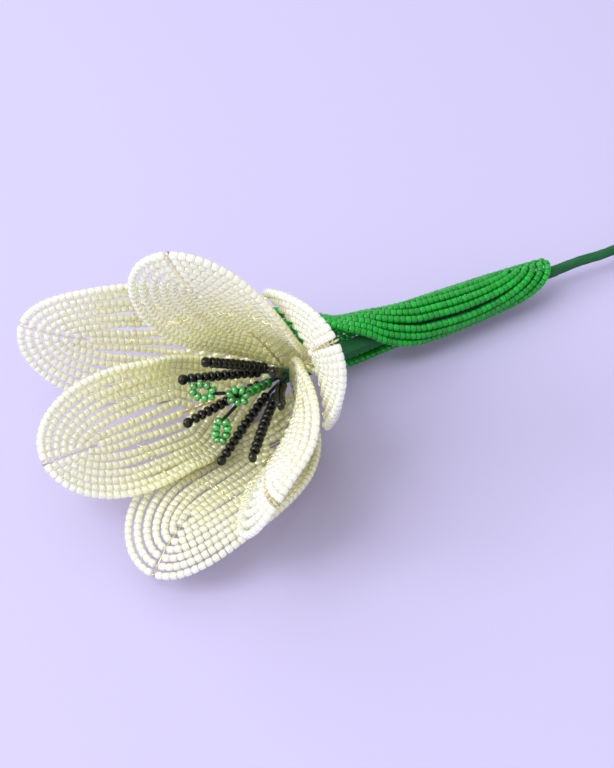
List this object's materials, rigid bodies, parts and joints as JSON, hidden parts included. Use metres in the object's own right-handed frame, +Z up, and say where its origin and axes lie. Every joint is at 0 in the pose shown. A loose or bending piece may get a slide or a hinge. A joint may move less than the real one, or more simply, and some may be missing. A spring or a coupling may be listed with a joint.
{
  "type": "beaded tulip flower",
  "caption": "Open tulip made of glass seed beads on wire, with pearly petals, dark stamens, a taped stem and a beaded leaf, lying on its side.",
  "frame": {"origin": "middle of the base of the bounding box, on the surface that the flower lies on", "axes": "+X runs from the bloom to the cut end of the stem, +Z is up, +Y points to the leaf's side"},
  "size_m": [0.3026, 0.0756, 0.0649],
  "materials": {
    "core_wire": "plain drawn wire",
    "floral_tape": "waxed crepe paper, matte",
    "petal_beads": "cream glass with a pearl lustre",
    "stamen_beads": "opaque black glass, glossy",
    "pistil_beads": "green glass with a lustre",
    "leaf_beads": "dark green glass, glossy"
  },
  "bodies": {
    "root": {"stem_wire": "core_wire", "stem_tape": "floral_tape", "petal_1": "petal_beads", "petal_2": "petal_beads", "petal_3": "petal_beads", "petal_4": "petal_beads", "petal_5": "petal_beads", "petal_6": "petal_beads", "stamen_1": "stamen_beads", "stamen_2": "stamen_beads", "stamen_3": "stamen_beads", "stamen_4": "stamen_beads", "stamen_5": "stamen_beads", "stamen_6": "stamen_beads", "stamen_7": "stamen_beads", "pistil": "pistil_beads", "leaf_1": "leaf_beads"}
  },
  "joints": []
}
